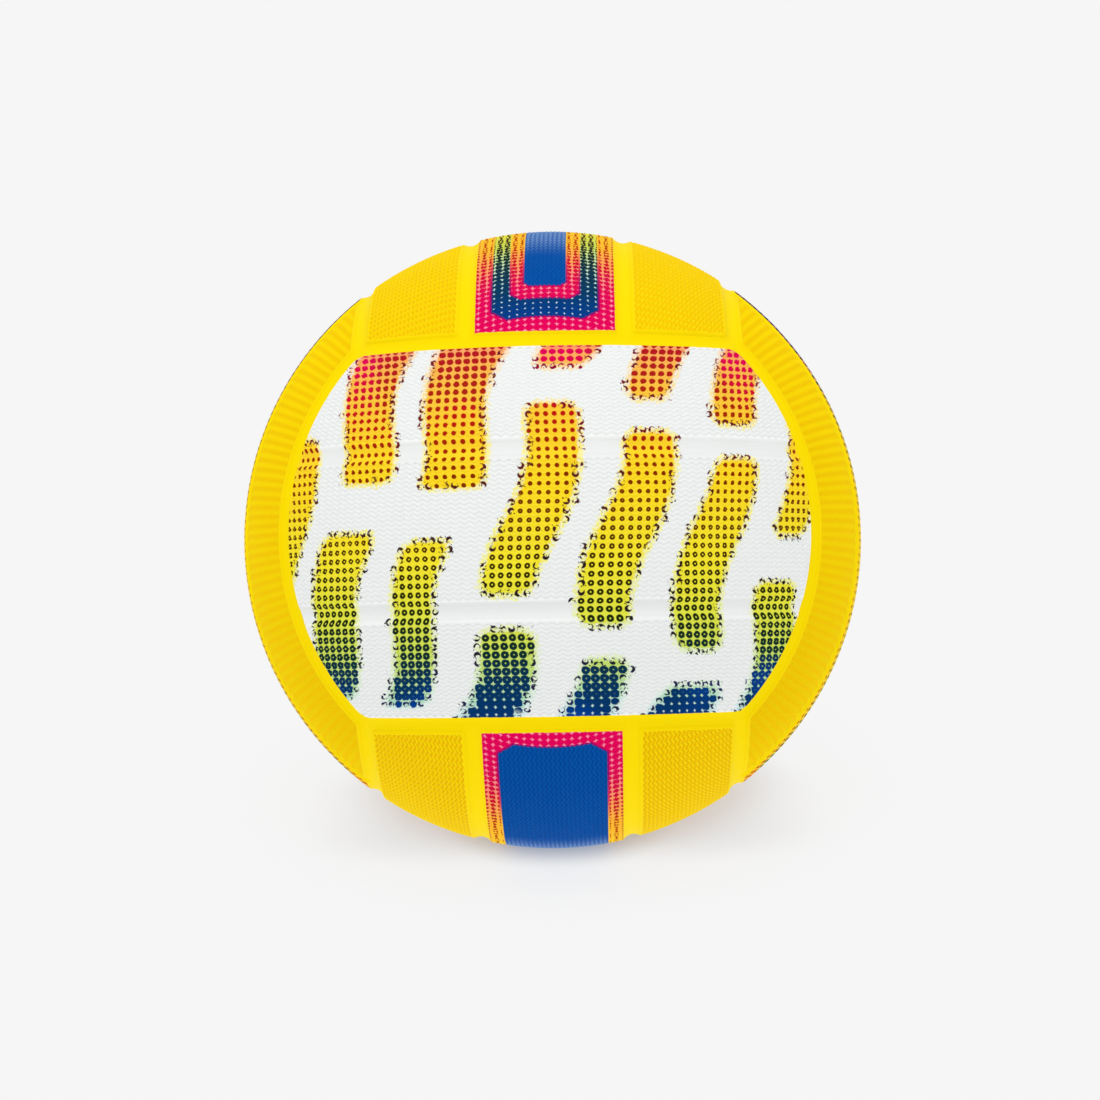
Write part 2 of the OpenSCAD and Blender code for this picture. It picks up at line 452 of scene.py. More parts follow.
def add_panel(group, number):
    """One raised panel: textured top, rounded walls and plain underside, as a closed mesh."""
    row = number - 1
    name = f"{group}_{ROW_NAMES[group][number]}_panel"
    has_valve = name == "back_middle_panel"
    outer_r = WHITE_CORNER_R if group in WHITE_GROUPS else CORNER_R
    corner_rs = [outer_r if row == side else CORNER_R for side in (-1, 1)]
    strip = Strip(row, corner_rs, -sum(GROUPS[group][0]), has_valve)
    top = strip.points
    bottom = bottom_grid(row)
    top_index = grid_index(top)
    bottom_index = grid_index(bottom, top_index.size)
    points = np.concatenate([top.reshape(-1, 3), bottom.reshape(-1, 3)])
    top_sides = grid_border(top_index)
    bottom_sides = grid_border(bottom_index)
    triangles = zip_rings(
        np.concatenate(top_sides), side_shares(points, top_sides),
        np.concatenate(bottom_sides), side_shares(points, bottom_sides),
    )
    top_keep = bottom_keep = None
    if has_valve:
        top_window = window_of(top, VALVE_WINDOW)
        bottom_window = window_of(bottom, VALVE_WINDOW)
        sizes = [(STEM_HOLE_R, PANEL_T), (STEM_HOLE_R, PANEL_T / 2), *reversed(VALVE_LOOPS)]
        loops = np.array([circle_points(r, BALL_R - drop) for r, drop in sizes])
        rings = list(grid_index(loops, len(points)))
        points = np.concatenate([points, *loops])
        rings.append(np.concatenate(grid_border(top_index, *top_window)))
        rings = [ring_from(points, ring) for ring in rings]
        triangles += chain_rings(rings)
        under = ring_from(points, np.concatenate(grid_border(bottom_index, *bottom_window)))
        triangles += [t[::-1] for t in zip_rings(*rings[0], *under)]
        top_keep = outside_window(top_index, top_window)
        bottom_keep = outside_window(bottom_index, bottom_window)
    quads = np.concatenate([
        grid_quads(top_index, top_keep),
        grid_quads(bottom_index, bottom_keep)[:, ::-1],
    ])
    others = (0, len(points) - top_index.size)
    marks = {mark: np.pad(getattr(strip, mark).ravel(), others) for mark in ("hollow", "slant")}
    piece = make_piece(name + "_dressed", points @ group_axes(group), quads, triangles, marks)
    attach(piece, "root")
    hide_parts(name)
    return piece


# Cover base


# Half of the base's grid, from the middle of a group to its side: how many steps lie under the
# middle strip, in the channel, under the outer strip, over its crest and in the outer channel
BASE_STEPS = (7, 16, 9, 6, 10)
BESIDE_CREST = 0.006
PAST_CREST = 0.012
# The base's hidden inside takes every third line of that grid
INSIDE_STEP = 3


def side_stations():
    """Places across a group, from its middle line out to its sides, close in the channels."""
    limits = [
        0,
        math.sin(INNER_CREST_LAT) - BESIDE_CREST,
        math.sin(OUTER_CREST_LAT) + BESIDE_CREST,
        math.sin(GROUP_CREST_LAT) - BESIDE_CREST,
        math.sin(GROUP_CREST_LAT) + PAST_CREST,
        math.sin(GROUP_LAT),
    ]
    runs = zip(limits, limits[1:], BASE_STEPS)
    half = np.concatenate([np.linspace(*run, endpoint=False) for run in runs] + [limits[-1:]])
    return np.concatenate([-half[:0:-1], half])


def base_directions(stations):
    """Unit vectors over one group's share of the sphere, in its own axes."""
    side = math.sin(GROUP_LAT)
    across = stations[:, None]
    along = stations[None, :] * np.sqrt(1 - across ** 2 - side ** 2) / side
    across = np.broadcast_to(across, along.shape)
    return np.stack([along, across, np.sqrt(1 - along ** 2 - across ** 2)], axis=-1)


def beyond_panels(unit):
    """Distance of each direction from the crest of the nearest panel, less than 0 over a panel."""
    lat = np.arcsin(unit[..., 1])
    past_end = (END_LAT - np.arcsin(unit[..., 2])) * BALL_R
    nearest = np.full(lat.shape, np.inf)
    for low, high in CREST_LATS.values():
        past_side = np.maximum(low - lat, lat - high) * BALL_R
        side = np.maximum(past_side + CORNER_R, 0)
        end = np.maximum(past_end + CORNER_R, 0)
        inner = np.minimum(np.maximum(past_side, past_end) + CORNER_R, 0)
        nearest = np.minimum(nearest, np.hypot(side, end) + inner - CORNER_R)
    return nearest


def base_lift(unit):
    """Height of the base over its lowest radius: channel floors, and a dive under the panels."""
    beyond = beyond_panels(unit)
    floor = trough_rise(CHANNEL_HALF - np.clip(beyond, WALL_REACH, CHANNEL_HALF))
    dive = smooth_step(WALL_REACH - BASE_DIVE, WALL_REACH, beyond)
    return (floor - BASE_SINK) * dive


MERGE_DECIMALS = 4


def merge_points(points, corners):
    """Joins points that lie in the same place, and renumbers the faces' corners."""
    rounded = np.round(points, MERGE_DECIMALS)
    _, first, number = np.unique(rounded, axis=0, return_index=True, return_inverse=True)
    return points[first], number.reshape(-1)[corners]


def base_surface(stations, lift, fixed_r):
    """One closed sphere of six patches with a window on the valve's axis: points, quads, ring."""
    unit = base_directions(stations)
    radius = fixed_r + (lift(unit) if lift else np.zeros(unit.shape[:2]))
    patch = unit * radius[..., None]
    index = grid_index(patch)
    points = []
    quads = []
    for group in GROUPS:
        keep = None
        if group == "back":
            window = window_of(patch, VALVE_WINDOW)
            keep = outside_window(index, window)
            ring = np.concatenate(grid_border(index, *window)) + len(points) * index.size
        quads.append(grid_quads(index, keep) + len(points) * index.size)
        points.append(patch.reshape(-1, 3) @ group_axes(group))
    return np.concatenate(points), np.concatenate(quads), ring


def add_base():
    """The rubber layer under the panels, a thin shell whose outside is the channels' floors."""
    stations = side_stations()
    outer, outer_quads, outer_ring = base_surface(stations, base_lift, BASE_R)
    inner, inner_quads, inner_ring = base_surface(stations[::INSIDE_STEP], None, WINDING_R)
    axes = group_axes("back")
    circles = np.array([circle_points(STEM_HOLE_R, r) @ axes for r in (WINDING_R, BASE_R)])
    points = np.concatenate([outer, inner, *circles])
    local = points @ axes.T
    rings = (*grid_index(circles, len(outer) + len(inner)), inner_ring + len(outer), outer_ring)
    inner_circle, outer_circle, inner_edge, outer_edge = (ring_from(local, ring) for ring in rings)
    triangles = chain_rings([inner_circle, outer_circle, outer_edge])
    triangles += [t[::-1] for t in zip_rings(*inner_circle, *inner_edge)]
    quads = np.concatenate([outer_quads, inner_quads[:, ::-1] + len(outer)])
    corners = np.concatenate([quads.ravel(), np.ravel(triangles)]).astype(int)
    points, corners = merge_points(points, corners)
    quads, triangles = np.split(corners, [quads.size])
    piece = make_piece("cover_base_dressed", points, quads, triangles)
    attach(piece, "root")
    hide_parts("cover_base")
    return piece


# Node maths: a Field is a number at each point of a surface, and sums of fields build nodes


class Field:
    """A socket of a shader tree that can be used in ordinary sums."""

    def __init__(self, tree, socket):
        self.tree = tree
        self.socket = socket

    def feed(self, target):
        self.tree.links.new(self.socket, target)

    def __add__(self, other):
        return combine("ADD", self, other)

    def __mul__(self, other):
        return combine("MULTIPLY", self, other)

    __radd__ = __add__
    __rmul__ = __mul__

    def __sub__(self, other):
        return combine("SUBTRACT", self, other)

    def __rsub__(self, other):
        return combine("SUBTRACT", other, self)

    def __truediv__(self, other):
        return combine("DIVIDE", self, other)

    def __neg__(self):
        return combine("MULTIPLY", self, -1)

    def __abs__(self):
        return combine("ABSOLUTE", self)

    def __round__(self):
        return combine("ROUND", self)


def put(value, target):
    """Links a field to a socket, or sets a plain value on it."""
    if isinstance(value, Field):
        value.feed(target)
    else:
        target.default_value = value


def add_node(tree, kind, inputs, output=0, **settings):
    """One output of a new node, whose inputs take fields or plain values."""
    node = tree.nodes.new("ShaderNode" + kind)
    for setting, value in settings.items():
        setattr(node, setting, value)
    for name, value in inputs.items():
        put(value, node.inputs[name])
    return Field(tree, node.outputs[output])


def combine(operation, *values):
    """One sum of fields and plain numbers."""
    tree = next(v.tree for v in values if isinstance(v, Field))
    return add_node(tree, "Math", dict(enumerate(values)), operation=operation)


def greater(a, b):
    return combine("MAXIMUM", a, b)


def lesser(a, b):
    return combine("MINIMUM", a, b)


def hypot(a, b):
    return combine("SQRT", a * a + b * b)


def rise(low, high, value):
    """0 below low, 1 above high, and a smooth rise between them."""
    inputs = {"Value": value, "From Min": low, "From Max": high}
    return add_node(value.tree, "MapRange", inputs, "Result", interpolation_type="SMOOTHSTEP")


# The colour sockets of a Mix node, which has others of the same names
MIX_A, MIX_B, MIX_RESULT = 6, 7, 2


def blend(factor, a, b):
    """Colour a where factor is 0, and b where it is 1."""
    inputs = {0: factor, MIX_A: a, MIX_B: b}
    return add_node(factor.tree, "Mix", inputs, MIX_RESULT, data_type="RGBA")


def blend_number(factor, a, b):
    """Number a where factor is 0, and b where it is 1."""
    return a + (b - a) * factor


def ramp(factor, stops):
    """A colour that runs through stops, each a place from 0 to 1 and a colour."""
    node = factor.tree.nodes.new("ShaderNodeValToRGB")
    elements = node.color_ramp.elements
    while len(elements) < len(stops):
        elements.new(0.5)
    for element, (place, colour) in zip(elements, stops):
        element.position = place
        element.color = colour
    factor.feed(node.inputs["Fac"])
    return Field(factor.tree, node.outputs["Color"])


def curve(factor, stops):
    """A number that runs through stops, each a place from 0 to 1 and a number up to 1."""
    colours = [(place, (value, value, value, 1)) for place, value in stops]
    return add_node(factor.tree, "SeparateColor", {0: ramp(factor, colours)})


def vector_of(x, y):
    """A flat vector from a field and a field or number."""
    return add_node(x.tree, "CombineXYZ", {0: x, 1: y})


def noise(where, size, detail=2.0):
    """Smooth noise about 0.5, with lumps of about the given size in the vector's unit."""
    inputs = {"Vector": where, "Scale": 1 / size, "Detail": detail}
    return add_node(where.tree, "TexNoise", inputs, "Fac")


def rise_about_zero(blur, value):
    """A blurred step from 0 to 1 where a value passes zero."""
    return rise(-blur, blur, value)


def within(blur, distance):
    """1 where a distance outside some edge is less than 0, with that edge blurred."""
    return 1 - rise_about_zero(blur, distance)


def chance(x, y):
    """A number from 0 to 1 drawn for each pair of whole numbers."""
    inputs = {"Vector": vector_of(x, y)}
    return add_node(x.tree, "TexWhiteNoise", inputs, "Value", noise_dimensions="2D")


def paint(red, green, blue):
    """A linear colour from the 0 to 255 values that a screen shows."""
    def linear(value):
        share = value / 255
        return share / 12.92 if share <= 0.04045 else ((share + 0.055) / 1.055) ** 2.4
    return (linear(red), linear(green), linear(blue), 1.0)


ROUGHNESS = 0.55
ROUGHNESS_SPREAD = 0.12
ROUGHNESS_PATCH = 9.0
SPECULAR = 0.015
GRAIN_SIZE = 0.5
GRAIN_STRENGTH = 0.12
GRAIN_DEPTH = 0.08


class Surface:
    """A material in the making, with the ball's own coordinates in millimetres."""

    def __init__(self, name):
        self.material = bpy.data.materials.new(name)
        self.material.use_nodes = True
        self.tree = self.material.node_tree
        self.shader = self.tree.nodes["Principled BSDF"]
        inputs = {0: add_node(self.tree, "TexCoord", {}, "Object"), "Scale": 1 / MM}
        self.place = add_node(self.tree, "VectorMath", inputs, operation="SCALE")
        split = {0: self.place}
        self.x, self.y, self.z = (add_node(self.tree, "SeparateXYZ", split, k) for k in range(3))
        self.radius = combine("SQRT", self.x * self.x + self.y * self.y + self.z * self.z)

    def axis(self, vector):
        """The coordinate along one of the ball's axes, given as a unit vector."""
        parts = zip((self.x, self.y, self.z), vector)
        return next(part * sign for part, sign in parts if sign)

    def mark(self, name):
        """One of the values that the mesh's points carry."""
        return add_node(self.tree, "Attribute", {}, "Fac", attribute_name=name)

    def arc(self, coordinate):
        """Length of arc from the middle of the ball's surface along a coordinate."""
        return combine("ARCSINE", coordinate / self.radius) * BALL_R

    def grain(self, size=GRAIN_SIZE, strength=GRAIN_STRENGTH, depth=GRAIN_DEPTH):
        """Fine bump on the surface."""
        height = noise(self.place, size)
        inputs = {"Strength": strength, "Distance": depth * MM, "Height": height}
        add_node(self.tree, "Bump", inputs, "Normal").feed(self.shader.inputs["Normal"])

    def finish(self, colour, roughness=ROUGHNESS, specular=SPECULAR):
        """The material, with a roughness that drifts a little over the surface."""
        drift = (noise(self.place, ROUGHNESS_PATCH) - 0.5) * ROUGHNESS_SPREAD
        put(colour, self.shader.inputs["Base Color"])
        put(roughness + drift, self.shader.inputs["Roughness"])
        self.shader.inputs["Specular IOR Level"].default_value = specular
        return self.material


# Colours of the rubber and of the inks

YELLOW = (0.98, 0.745, 0.001, 1.0)
# Painted shade on one slant of the yellow grip waves
YELLOW_SLANT_SHADE = (0.975, 0.65, 0.0005, 1.0)
# Painted shade in the yellow grip hollows
YELLOW_HOLLOW_SHADE = (0.80, 0.455, 0.0005, 1.0)
WHITE = (0.90, 0.92, 0.905, 1.0)
# Painted shade in the white grip hollows
WHITE_HOLLOW_SHADE = (0.80, 0.82, 0.81, 1.0)
# Painted shade on the middle strip's side of the grooves between white strips
WHITE_GROOVE_SHADE = (0.82, 0.84, 0.83, 1.0)
BLUE = paint(0, 84, 170)
# Painted shade in the blue grip hollows
BLUE_HOLLOW_SHADE = paint(0, 70, 148)
# Painted sheen on the blue plates' crests
BLUE_SHEEN = paint(138, 172, 216)


def inks(*stops):
    """Stops for a ramp, each given as a place from 0 to 1 and the values that a screen shows."""
    return [(place, paint(*colour)) for place, *colour in stops]


# Inks of the front and back print, from its foot to its head
GROUND_STOPS = inks(
    (0.00, 205, 230, 236), (0.06, 182, 226, 196), (0.14, 196, 226, 126), (0.20, 212, 230, 92),
    (0.30, 232, 232, 66), (0.42, 250, 234, 50), (0.60, 255, 222, 36), (0.74, 255, 213, 44),
    (0.86, 255, 200, 66), (0.95, 255, 184, 88), (1.00, 255, 166, 112),
)
BROWN_INK_STOPS = inks(
    (0.00, 4, 56, 116), (0.10, 4, 56, 96), (0.18, 12, 50, 50), (0.28, 28, 42, 12),
    (0.40, 50, 38, 0), (0.52, 98, 44, 0), (0.66, 146, 44, 0), (0.80, 172, 42, 4),
    (1.00, 186, 24, 36),
)
RED_INK_STOPS = inks(
    (0.00, 0, 70, 172), (0.12, 0, 62, 130),
) + BROWN_INK_STOPS[2:7] + inks(
    (0.80, 196, 22, 16), (0.90, 218, 8, 60), (1.00, 230, 4, 96),
)
SCRAP_INK = paint(44, 16, 40)
SCRAP_INK_SHARE = 0.6
HALO_STOPS = inks(
    (0.00, 214, 240, 246), (0.15, 226, 242, 196), (0.40, 250, 246, 140), (0.75, 255, 240, 140),
    (1.00, 255, 222, 190),
)
DOT_STOPS = (
    (0.00, 0.60), (0.08, 0.57), (0.16, 0.48), (0.28, 0.39), (0.42, 0.33),
    (0.60, 0.26), (0.75, 0.28), (0.88, 0.36), (1.00, 0.45),
)
HOLE_STOPS = ((0.06, 0.0), (0.16, 0.8), (0.22, 1.0), (0.44, 1.0), (0.54, 0.3), (0.62, 0.0))

DOT_PITCH = 2.98
LABEL_DOT_PITCH = 2.65
DOT_BLUR = 0.05
DOT_HOLE = 0.085

# The print's motif: wavy bars that lean, broken at staggered heights
BAR_PITCH = 32.5
BAR_HALF = 8.7
BAR_HALF_SPREAD = 3.5
BAR_CORNER_R = 4.5
BAR_LEAN = 0.24
BAR_SWAY = 3.2
BAR_WAVE = 68.0
BAR_LENGTH = 76.0
BAR_GAP = 12.0
BAR_SHIFT = 6.0
PRINT_HALF_HEIGHT = 66.0

# The bars' ground has a mottled edge, and outside it lies a patchy halo
MOTTLE_SIZE = 1.4
MOTTLE_DETAIL = 1.5
GROUND_EDGE = (-0.9, 0.5)
GROUND_MOTTLE = 2.6
HALO_W = 2.0
HALO_EDGE_W = 0.8
HALO_MOTTLE = 4.0
HALO_PATCH_SIZE = 1.0
HALO_PATCH_EDGE = (0.38, 0.56)
HALO_LEAST = 0.2

# The dots stay apart near a bar's edge, and across it some are left as scraps: dots with a bite
# out of them, and specks. Whether a dot is whole depends on how far outside the bar it lies.
EDGE_DOTS_W = 2.5
EDGE_DOT_R = 0.48
SCRAP_INSIDE = 1.0
SCRAP_OUTSIDE = 1.6
SCRAP_JITTER = 1.2
SCRAP_R = 0.40
SCRAP_SPREAD = (0.40, 0.45)
BITE_R = 0.23
BITE_SHIFT = 0.20
SPECK_SIZE = 0.8
SPECK_SPREAD = (0.70, 0.73)
CELL_BLUR = 0.02

# Slow changes over the whole print: the screen's drift, and the share of red in the ink
SCREEN_DRIFT = 5.0
SCREEN_DRIFT_SIZE = 45.0
TONE_SIZE = 38.0
TONE_EDGE = (0.42, 0.56)

# Numbers that keep the random draws apart
BITE_DRAW = 31
WIDTH_DRAW = 7


def dot_offset(u, v, pitch):
    """Distance from the middle of the screen's cell, in shares of its pitch."""
    across = u / pitch
    up = v / pitch
    return hypot(across - round(across), up - round(up))


def bite_offset(u, v, column, line):
    """Distance from the middle of the bite out of a cell's dot, whose side is by chance."""
    turn = chance(column + BITE_DRAW, line) * (2 * math.pi)
    across = u / DOT_PITCH - column - combine("COSINE", turn) * BITE_SHIFT
    up = v / DOT_PITCH - line - combine("SINE", turn) * BITE_SHIFT
    return hypot(across, up)


def bar_distance(u, v):
    """Distance outside the nearest wavy bar, less than 0 within it."""
    turn = v * (2 * math.pi / BAR_WAVE)
    straight = u - v * BAR_LEAN - combine("SINE", turn) * BAR_SWAY + BAR_SHIFT
    slope = combine("COSINE", turn) * (BAR_SWAY * 2 * math.pi / BAR_WAVE) + BAR_LEAN
    squeeze = combine("SQRT", slope * slope + 1)
    bar = round(straight / BAR_PITCH)
    across = (straight - bar * BAR_PITCH) / squeeze
    slide = v + chance(bar, 0) * BAR_LENGTH
    segment = round(slide / BAR_LENGTH)
    along = (slide - segment * BAR_LENGTH) * squeeze
    half = BAR_HALF + (chance(bar, segment + WIDTH_DRAW) - 0.5) * BAR_HALF_SPREAD
    from_side = abs(across) - half + BAR_CORNER_R
    from_end = abs(along) - ((BAR_LENGTH - BAR_GAP) / 2 - BAR_CORNER_R)
    outside = hypot(greater(from_side, 0), greater(from_end, 0))
    return outside + lesser(greater(from_side, from_end), 0) - BAR_CORNER_R


def field_print(s, fabric):
    """Colour of the front and back fields: fabric, with wavy halftone bars printed on it."""
    facing = combine("SIGN", -s.y)
    u = s.arc(s.x * facing)
    v = s.arc(s.z)
    height = v * (0.5 / PRINT_HALF_HEIGHT) + 0.5
    flat = vector_of(u, v)
    outside = bar_distance(u, v)
    mottle = noise(flat, MOTTLE_SIZE, MOTTLE_DETAIL) - 0.5
    ground_share = 1 - rise(*GROUND_EDGE, outside + mottle * GROUND_MOTTLE)
    patches = rise(*HALO_PATCH_EDGE, noise(flat, HALO_PATCH_SIZE, detail=1.0))
    halo_edge = 1 - rise(HALO_W - HALO_EDGE_W, HALO_W, outside + mottle * HALO_MOTTLE)
    halo_share = halo_edge * blend_number(patches, HALO_LEAST, 1.0)

    screen_u = u + (noise(flat, SCREEN_DRIFT_SIZE, detail=0.0) - 0.5) * SCREEN_DRIFT
    column = round(screen_u / DOT_PITCH)
    line = round(v / DOT_PITCH)
    cell = bar_distance(u + (column * DOT_PITCH - screen_u), line * DOT_PITCH)
    cell = cell + (chance(column, line) - 0.5) * SCRAP_JITTER
    whole = within(CELL_BLUR, cell + SCRAP_INSIDE)
    rim = within(CELL_BLUR, cell - SCRAP_OUTSIDE)

    by_edge = rise(-EDGE_DOTS_W - SCRAP_INSIDE, -SCRAP_INSIDE, cell)
    dot = lesser(curve(height, DOT_STOPS), blend_number(by_edge, 1.0, EDGE_DOT_R))
    off = dot_offset(screen_u, v, DOT_PITCH)
    disc = rise_about_zero(DOT_BLUR, dot - off)
    hole = rise_about_zero(DOT_BLUR, DOT_HOLE - off) * curve(height, HOLE_STOPS)
    in_rim = rim - whole
    bite = bite_offset(screen_u, v, column, line)
    crescent = rise_about_zero(DOT_BLUR, SCRAP_R - off) * rise_about_zero(DOT_BLUR, bite - BITE_R)
    scrap = crescent * rise(*SCRAP_SPREAD, noise(flat, MOTTLE_SIZE, detail=0.0))
    specks = rise(*SPECK_SPREAD, noise(flat, SPECK_SIZE, detail=0.0))
    ink_share = greater(disc * whole * (1 - hole), in_rim * greater(scrap, specks))

    tone = rise(*TONE_EDGE, noise(flat, TONE_SIZE, detail=0.0))
    ink = blend(tone, ramp(height, BROWN_INK_STOPS), ramp(height, RED_INK_STOPS))
    ink = blend(in_rim * SCRAP_INK_SHARE, ink, SCRAP_INK)
    printed = blend(halo_share, fabric, ramp(height, HALO_STOPS))
    printed = blend(ground_share, printed, ramp(height, GROUND_STOPS))
    return blend(ink_share, printed, ink)


# The edges of the white fields and of the labels fray a little
FRAY_SIZE = 1.1
FIELD_FRAY = 0.9
FIELD_BLUR = 0.2
FIELD_OVERLAP = 0.1
LABEL_FRAY = 0.5
LABEL_BLUR = 0.15


def fray(s, width):
    """A small shift of an edge to either side."""
    return (noise(s.place, FRAY_SIZE) - 0.5) * width


def field_mask(s, end_extra=0.0):
    """1 on the white fields at the front and back, which end at their outer crests."""
    frayed = fray(s, FIELD_FRAY)
    side = abs(s.arc(s.z)) - GROUP_CREST_LAT * BALL_R + frayed
    end = END_LAT * BALL_R - abs(s.arc(s.y)) + frayed - end_extra
    return within(FIELD_BLUR, greater(side, end) - FIELD_OVERLAP)


# Painted shade in the hollows, strongest low on the ball: heights of the change, and the share above
HOLLOW_SHADE_HEIGHTS = (-85.0, -5.0)
HOLLOW_SHADE_AT_TOP = 0.42
DRIFT_SIZE = 24.0
DRIFT_DETAIL = 3.0
DRIFT_SHARE = 0.16


def rubber_tint_with_hollow_shade(s, crest, hollow):
    """The crest colour, slowly drifting, and painted shade down in the grip texture's hollows."""
    share = blend_number(rise(*HOLLOW_SHADE_HEIGHTS, s.z), 1.0, HOLLOW_SHADE_AT_TOP)
    drift = noise(s.place, DRIFT_SIZE, DRIFT_DETAIL) * DRIFT_SHARE
    depth = s.mark("hollow")
    return blend(lesser(depth * depth * share + drift, 1), crest, hollow)


def yellow_material():
    """Plain yellow rubber, with painted shade in its hollows and on one side of its waves."""
    s = Surface("yellow_rubber")
    s.grain()
    crest = blend(s.mark("slant"), YELLOW, YELLOW_SLANT_SHADE)
    return s.finish(rubber_tint_with_hollow_shade(s, crest, YELLOW_HOLLOW_SHADE))


# The print runs on a little past the white strips' ends in the grooves between them
GROOVE_PRINT_RUN_ON = 1.5
GROOVE_SOFTNESS = 0.6
# Reach of the painted shade on the grooves' middle-strip side
GROOVE_SHADE_EDGE = 0.3


def from_groove(s):
    """Distance from the middle of the nearest groove between white strips, less than 0 inward."""
    return abs(s.arc(s.z)) - STRIP_LAT * BALL_R


def white_tint(s):
    """White rubber, with painted shade in its hollows and on the middle strip's side of the grooves.
    """
    half = STRIP_CHANNEL_W / 2
    from_middle = from_groove(s)
    groove_shade = rise(-half - GROOVE_SHADE_EDGE, -half, from_middle) * (1 - rise(-half, half, from_middle))
    crest = blend(groove_shade, WHITE, WHITE_GROOVE_SHADE)
    return rubber_tint_with_hollow_shade(s, crest, WHITE_HOLLOW_SHADE)


def field_material():
    """White printed rubber in the front and back fields, yellow on the walls round them."""
    s = Surface("white_rubber")
    s.grain()
    return s.finish(blend(field_mask(s), YELLOW, field_print(s, white_tint(s))))


def base_material():
    """Yellow rubber, white and printed in the grooves between the white strips."""
    s = Surface("base_rubber")
    s.grain()
    half = STRIP_CHANNEL_W / 2
    in_groove = 1 - rise(half, half + GROOVE_SOFTNESS, abs(from_groove(s)))
    mask = field_mask(s, in_groove * GROOVE_PRINT_RUN_ON)
    return s.finish(blend(mask, YELLOW, field_print(s, white_tint(s))))


# Label print on the middle strips of the yellow groups

LABEL_HALF_LENGTH = 104.0
LABEL_HALF_WIDTH = 23.6
LABEL_CORNER_CUT = 7.0
# The long sides of a frame move in by this share of its inset
LABEL_NARROWING = 0.66
OUTLINE_W = 0.55
LINE_BLUR = 0.1
LABEL_GROUND_STOPS = inks(
    (0.00, 255, 214, 30), (0.45, 255, 190, 50), (0.62, 255, 160, 100), (0.78, 255, 140, 165),
    (1.00, 255, 150, 185),
)
LABEL_INK_STOPS = inks(
    (0.00, 176, 76, 0), (0.45, 186, 60, 0), (0.60, 206, 16, 44), (0.78, 226, 4, 88),
    (1.00, 232, 0, 94),
)
LABEL_DOT_STOPS = ((0.00, 0.22), (0.40, 0.32), (0.62, 0.42), (0.78, 0.52), (1.00, 0.55))
BAND_GROUND_STOPS = inks(
    (0.00, 255, 226, 40), (0.45, 206, 224, 90), (0.75, 196, 232, 232), (1.00, 220, 240, 250),
)
BAND_DOT_STOPS = ((0.00, 0.20), (0.35, 0.38), (0.60, 0.50), (0.80, 0.60), (1.00, 0.635))
BAND_INK_STOPS = inks(
    (0.30, 70, 40, 10), (0.55, 20, 50, 40), (0.78, 6, 60, 100), (0.90, 2, 62, 140),
)
# Painted sheen on the plates' crests: the width of its edge, and the share of it that one slant loses
SHEEN_EDGE = 0.20
SHEEN_SLANT_SHARE = 0.5
# Along the strip, where a dark end's ink starts to darken and is darkest
DARK_REACH = (-20.0, 45.0)
LIGHT_END_SHARE = 0.45
DARK_INK = paint(20, 24, 40)
OUTLINE_STOPS = inks(
    (0.45, 255, 196, 46), (0.62, 226, 60, 90), (0.76, 150, 10, 110),
)


def label_dots(u, v, dot):
    """Ink coverage of the labels' square screen of dots."""
    return rise_about_zero(DOT_BLUR, dot - dot_offset(u, v, LABEL_DOT_PITCH))


def cut_frame(u, v, inset):
    """Distance outside a frame set in from the label's edge, with corners cut off at a slant."""
    half_u = LABEL_HALF_LENGTH - inset
    half_v = LABEL_HALF_WIDTH - inset * LABEL_NARROWING
    cut = LABEL_CORNER_CUT * half_v / LABEL_HALF_WIDTH if inset else 0
    straight = greater(abs(u) - half_u, abs(v) - half_v)
    slanted = (abs(u) + abs(v) - (half_u + half_v - cut)) / math.sqrt(2)
    return greater(straight, slanted)


def plate_tint(s, from_middle, sheen_reach):
    """Blue rubber with painted shade in its hollows, and where a reach is given, a painted sheen on
    the crests as far as that from the middle.
    """
    crest = BLUE
    if sheen_reach:
        pale = 1 - rise(sheen_reach, sheen_reach + SHEEN_EDGE, from_middle)
        on_crest = (1 - s.mark("hollow")) * (1 - s.mark("slant") * SHEEN_SLANT_SHARE)
        crest = blend(pale * on_crest, BLUE, BLUE_SHEEN)
    return rubber_tint_with_hollow_shade(s, crest, BLUE_HOLLOW_SHADE)


